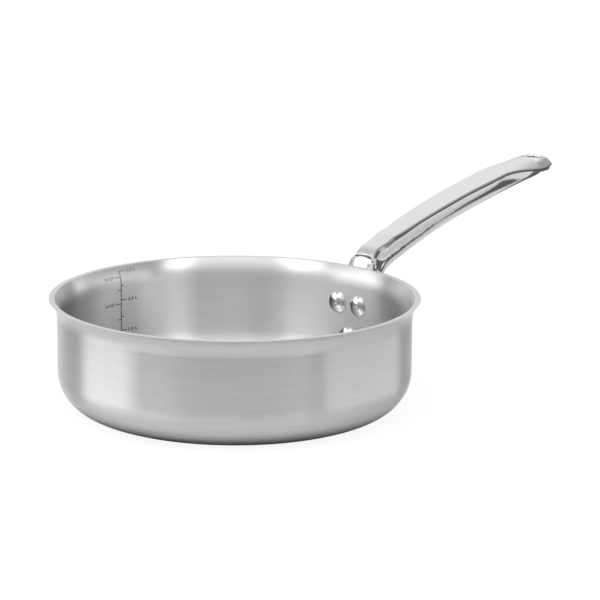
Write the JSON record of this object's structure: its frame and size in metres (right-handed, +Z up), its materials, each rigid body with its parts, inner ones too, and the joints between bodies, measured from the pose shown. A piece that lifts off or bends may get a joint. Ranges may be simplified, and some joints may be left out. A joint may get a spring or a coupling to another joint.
{
  "type": "saucier pan",
  "caption": "Round stainless clad saucier pan with a level-cut flared pouring rim and a long riveted cast handle, fluted below and flat on top, ending in a hanging hole.",
  "frame": {"origin": "centre of the base's underside, on the surface that the pan stands on", "axes": "+Z up out of the pan's mouth, +X out along the handle, +Y to the left seen from the pan's centre looking along the handle"},
  "size_m": [0.4669, 0.25, 0.128],
  "materials": {
    "lining_steel": "brushed round the pan",
    "core_aluminium": "cut edge, fine turned",
    "skin_steel": "brushed round the pan",
    "handle_steel": "satin top, polished sides and end",
    "rivet_steel": "polished"
  },
  "bodies": {
    "root": {"inner_steel_lining": "lining_steel", "aluminium_core": "core_aluminium", "outer_steel_skin": "skin_steel", "handle": "handle_steel", "rivet_left": "rivet_steel", "rivet_right": "rivet_steel", "rivet_lower": "rivet_steel"}
  },
  "joints": []
}
